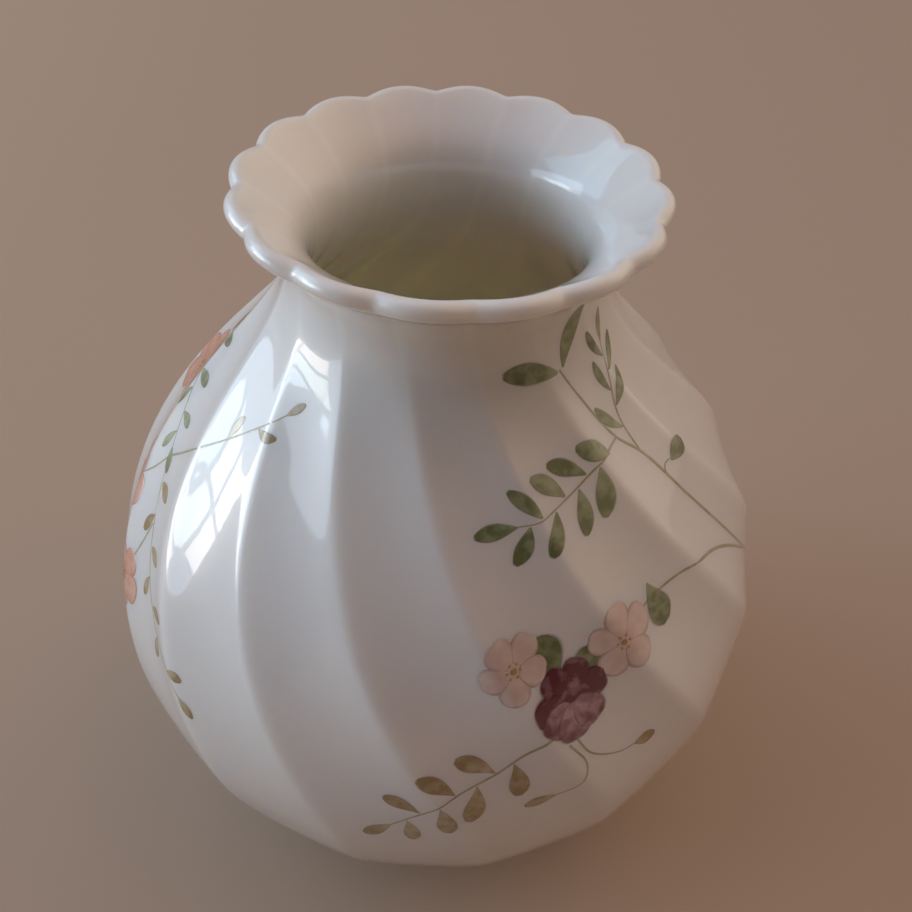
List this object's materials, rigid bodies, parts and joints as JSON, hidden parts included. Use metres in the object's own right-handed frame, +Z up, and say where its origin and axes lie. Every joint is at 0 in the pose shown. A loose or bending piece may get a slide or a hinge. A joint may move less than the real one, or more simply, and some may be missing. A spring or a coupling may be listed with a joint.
{
  "type": "flower vase",
  "caption": "Small bulbous posy vase in glazed china, with a swirled fluted belly, a narrow neck and a flared scalloped rim.",
  "frame": {"origin": "centre of the foot ring's resting plane", "axes": "+Z up along the vase's axis, -Y towards the side with the main floral spray"},
  "size_m": [0.0968, 0.0968, 0.1064],
  "materials": {
    "glazed_china": "clear high-gloss glaze",
    "bare_china": "unglazed, ground flat",
    "leaf_green": "on-glaze transfer, satin",
    "leaf_ochre": "on-glaze transfer, satin",
    "petal_pink": "on-glaze transfer, satin",
    "petal_burgundy": "on-glaze transfer, satin"
  },
  "bodies": {
    "root": {"foot_ring": "bare_china", "base": "glazed_china", "lower_belly": "glazed_china", "upper_belly": "glazed_china", "neck": "glazed_china", "flared_rim": "glazed_china"}
  },
  "joints": []
}
